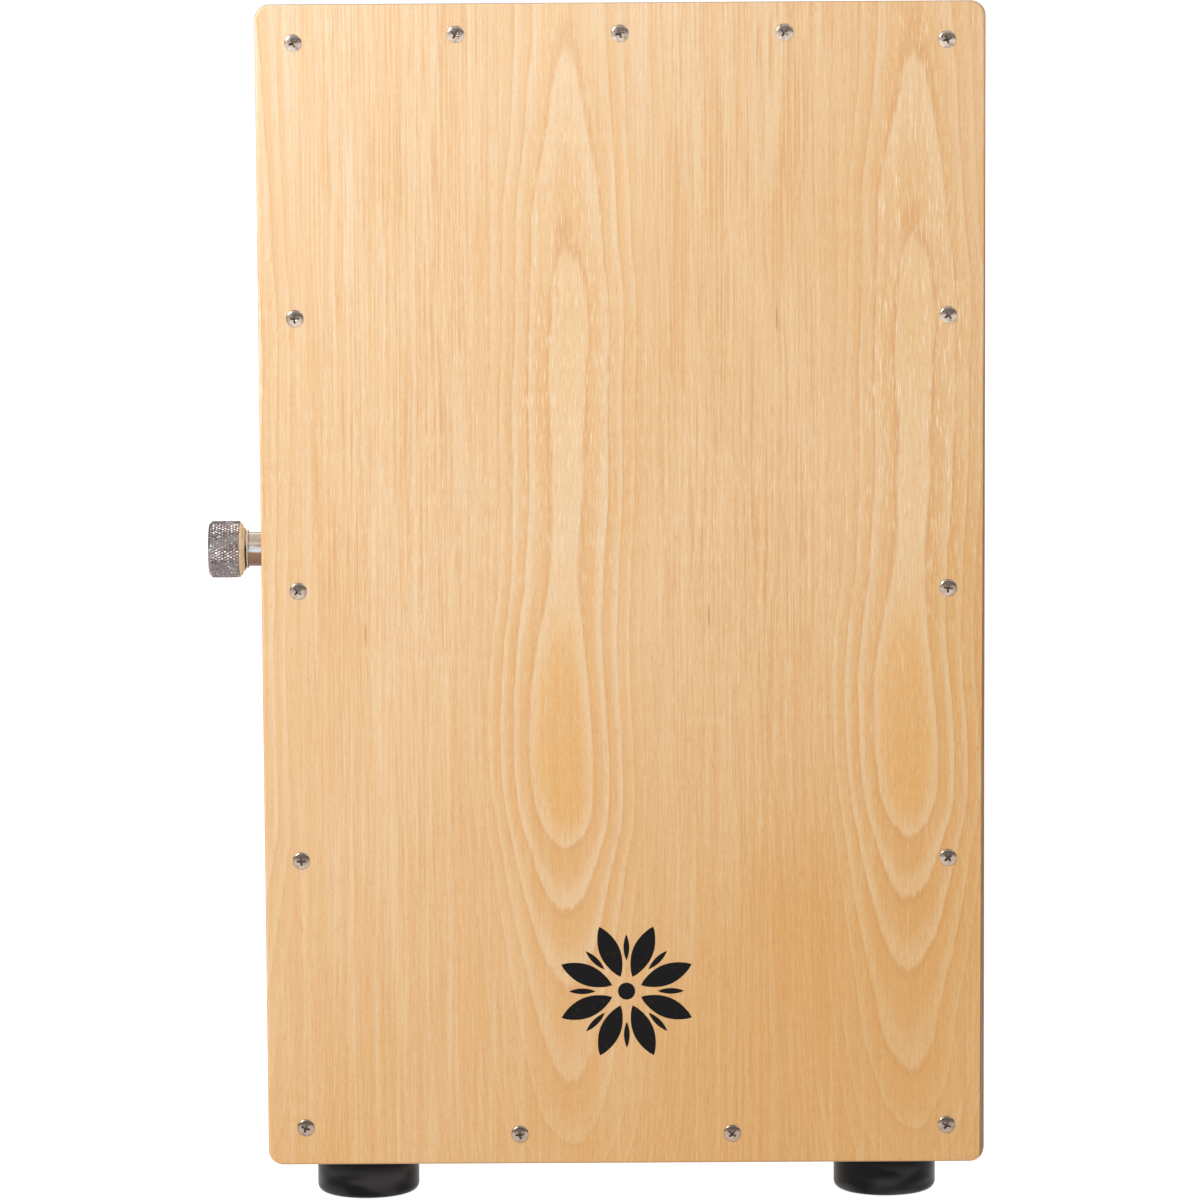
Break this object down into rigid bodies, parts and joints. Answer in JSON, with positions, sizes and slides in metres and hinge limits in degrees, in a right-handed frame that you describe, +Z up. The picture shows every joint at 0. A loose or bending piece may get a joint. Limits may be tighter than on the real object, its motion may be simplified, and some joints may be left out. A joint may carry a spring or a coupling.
{
  "type": "cajon",
  "caption": "Upright wooden box drum with a thin screwed-on playing face, a sound hole at the back, rubber feet and an inner snare bar turned by a knurled side knob.",
  "frame": {"origin": "on the floor, under the middle of the box, in the plane of the feet's undersides", "axes": "+Z up; -Y is the playing face's side and +Y the sound hole's; the knob is on the -X side"},
  "size_m": [0.3241, 0.3018, 0.503],
  "materials": {
    "face_veneer": "satin",
    "shell_veneer": "satin",
    "back_veneer": "satin",
    "batten_wood": "matte",
    "hardwood": "satin",
    "screw_nickel": "polished",
    "knob_steel": "satin",
    "barrel_chrome": "polished",
    "zinc_steel": "satin",
    "shaft_steel": "satin",
    "snare_wire": "gloss",
    "nylon": "matte",
    "felt": "matte",
    "foot_rubber": "matte",
    "printed_black": "satin"
  },
  "bodies": {
    "case": {"back_batten_bottom": "batten_wood", "back_batten_left": "batten_wood", "back_batten_right": "batten_wood", "back_batten_top": "batten_wood", "back_panel": "back_veneer", "back_screws": "screw_nickel", "bottom_panel": "shell_veneer", "bushing_nut": "zinc_steel", "bushing_washer": "zinc_steel", "face_screws": "screw_nickel", "foot_back_left": "foot_rubber", "foot_back_right": "foot_rubber", "foot_front_left": "foot_rubber", "foot_front_right": "foot_rubber", "foot_screws": "zinc_steel", "foot_washers": "zinc_steel", "friction_washer": "nylon", "front_batten_bottom": "batten_wood", "front_batten_left": "batten_wood", "front_batten_right": "batten_wood", "front_batten_top": "batten_wood", "glue_block_bottom_left": "batten_wood", "glue_block_bottom_right": "batten_wood", "glue_block_top_left": "batten_wood", "glue_block_top_right": "batten_wood", "left_side_panel": "shell_veneer", "pivot_block": "hardwood", "pivot_bush": "nylon", "playing_face": "face_veneer", "right_side_panel": "shell_veneer", "spindle_bushing": "barrel_chrome", "stop_pin": "zinc_steel", "top_panel": "shell_veneer"},
    "snare_assembly": {"knob": "knob_steel", "knob_set_screw": "zinc_steel", "spindle": "shaft_steel", "disc_spring": "shaft_steel", "shaft_collar": "zinc_steel", "collar_set_screw": "zinc_steel", "snare_bar": "hardwood", "left_cross_pin": "zinc_steel", "right_cross_pin": "zinc_steel", "pivot_pin": "shaft_steel", "end_washer": "nylon", "snare_plate_left": "zinc_steel", "snare_plate_right": "zinc_steel", "snare_strands_left": "snare_wire", "snare_strands_right": "snare_wire", "snare_clamp_left": "zinc_steel", "snare_clamp_right": "zinc_steel", "snare_felt_left": "felt", "snare_felt_right": "felt", "snare_screws": "zinc_steel"}
  },
  "joints": [
    {"name": "snare_turn", "type": "hinge", "parent": "case", "child": "snare_assembly", "pos_m": [0, -0.112, 0.275], "axis": [-1, 0, 0], "range_deg": [0, 45]}
  ]
}
